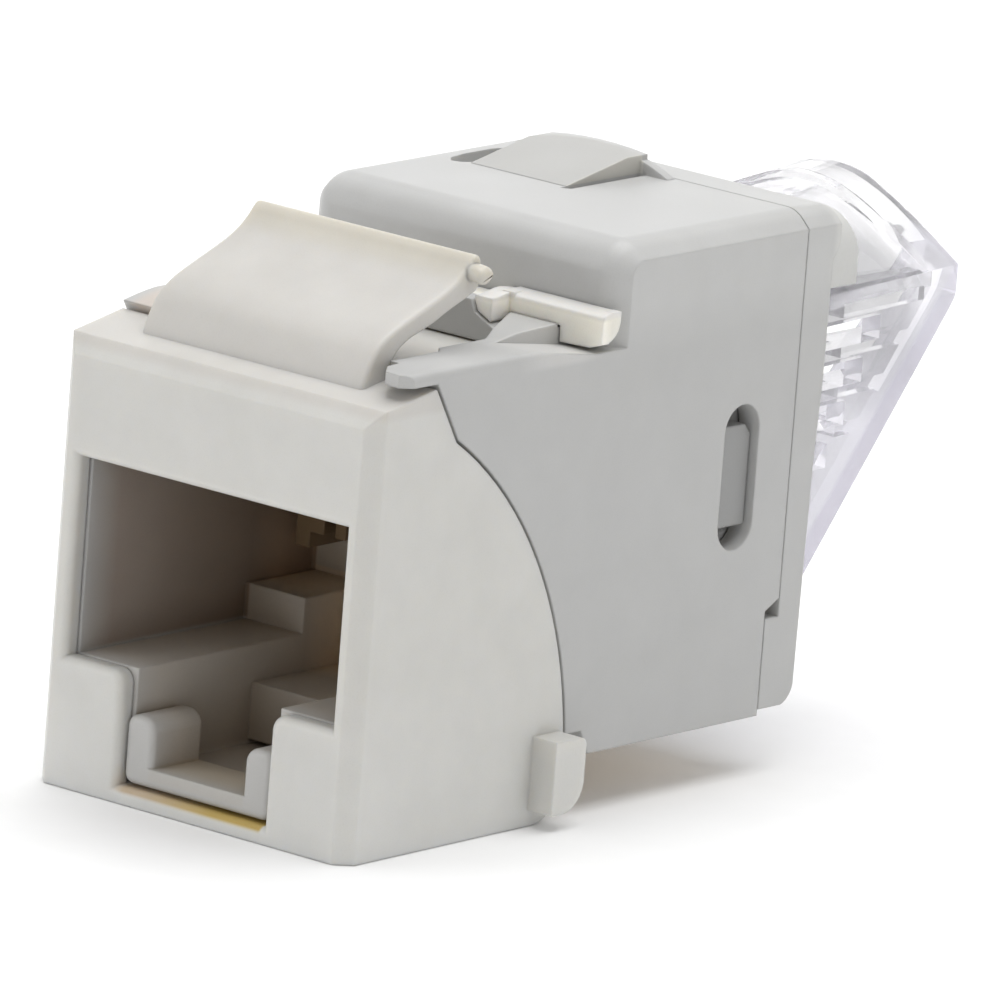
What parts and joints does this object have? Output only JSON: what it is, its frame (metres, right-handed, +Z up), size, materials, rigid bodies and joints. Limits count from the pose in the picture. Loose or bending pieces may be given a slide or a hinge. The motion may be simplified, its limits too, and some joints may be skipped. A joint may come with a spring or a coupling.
{
  "type": "keystone jack",
  "caption": "Snap-in keystone jack for a modular data plug: pale bezel with springy latch lever, grey housing, inner contacts and board, and a clear wire-lacing cap.",
  "frame": {"origin": "middle of the face's lower edge, in the plane of the front face, where the jack meets the opening it snaps into", "axes": "+Y from the face towards the cable, +Z up, +X to the right for someone behind the jack's face looking along +Y"},
  "size_m": [0.0166, 0.0344, 0.0214],
  "materials": {
    "warm_white": "satin",
    "pale_grey": "satin",
    "carrier_grey": "satin",
    "gold_plate": "gloss",
    "tin_plate": "satin",
    "board_green": "satin",
    "clear": "gloss"
  },
  "bodies": {
    "jack": {"bezel": "warm_white", "main_housing": "pale_grey", "contact_carrier": "carrier_grey", "jack_contact_1": "gold_plate", "jack_contact_2": "gold_plate", "jack_contact_3": "gold_plate", "jack_contact_4": "gold_plate", "jack_contact_5": "gold_plate", "jack_contact_6": "gold_plate", "jack_contact_7": "gold_plate", "jack_contact_8": "gold_plate", "compensation_pcb": "board_green", "idc_contact_1": "tin_plate", "idc_contact_2": "tin_plate", "idc_contact_3": "tin_plate", "idc_contact_4": "tin_plate", "idc_contact_5": "tin_plate", "idc_contact_6": "tin_plate", "idc_contact_7": "tin_plate", "idc_contact_8": "tin_plate", "idc_housing": "pale_grey"},
    "lever": {"latch_lever": "warm_white"},
    "cap": {"lacing_cap": "clear"}
  },
  "joints": [
    {"name": "lever_flex", "type": "hinge", "parent": "jack", "child": "lever", "pos_m": [0, 0.00214, 0.01698], "axis": [1, 0, 0], "range_deg": [-12, 0], "stiffness_Nm_per_rad": 0.12},
    {"name": "cap_pull", "type": "slide", "parent": "jack", "child": "cap", "axis": [0, 1, 0], "range_m": [0, 0.01]}
  ]
}
